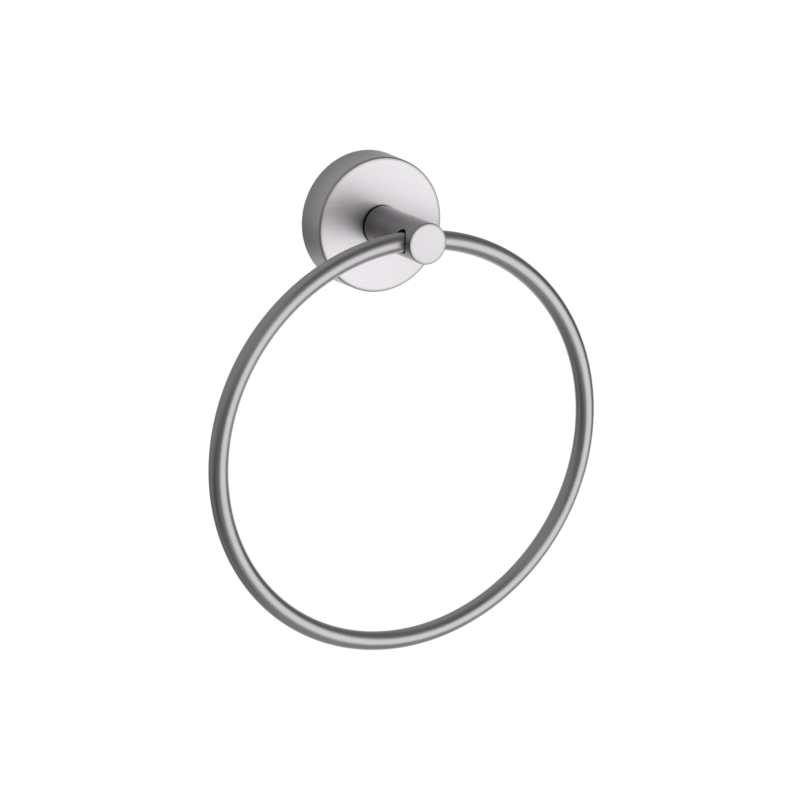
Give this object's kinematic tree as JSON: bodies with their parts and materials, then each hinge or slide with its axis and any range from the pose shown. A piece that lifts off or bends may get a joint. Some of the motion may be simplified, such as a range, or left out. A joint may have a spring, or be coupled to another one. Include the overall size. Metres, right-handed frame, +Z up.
{
  "type": "towel ring",
  "caption": "Closed ring of round bar that hangs and swings in a bore across a short round post, on a round wall rose with a hidden fixing plate.",
  "frame": {"origin": "on the wall plane, at the centre of the rose's back", "axes": "the post projects from the wall along -Y, +Z is up, +X is to the right seen from the front"},
  "size_m": [0.171, 0.053, 0.1948],
  "materials": {
    "brushed_stainless": "satin, fine brushing",
    "cast_plate": "matt, as cast in zinc alloy",
    "plain_steel": "bright, as machined"
  },
  "bodies": {
    "bracket": {"rose_cover": "brushed_stainless", "post": "brushed_stainless", "wall_plate": "cast_plate", "post_screw": "plain_steel", "lock_washer": "plain_steel", "flat_washer": "plain_steel", "grub_screw": "plain_steel"},
    "towel_ring": {"ring": "brushed_stainless"}
  },
  "joints": [
    {"name": "ring_swing", "type": "hinge", "parent": "bracket", "child": "towel_ring", "pos_m": [0, -0.045, 0], "axis": [-1, 0, 0], "range_deg": [-14.5, 194.5]}
  ]
}
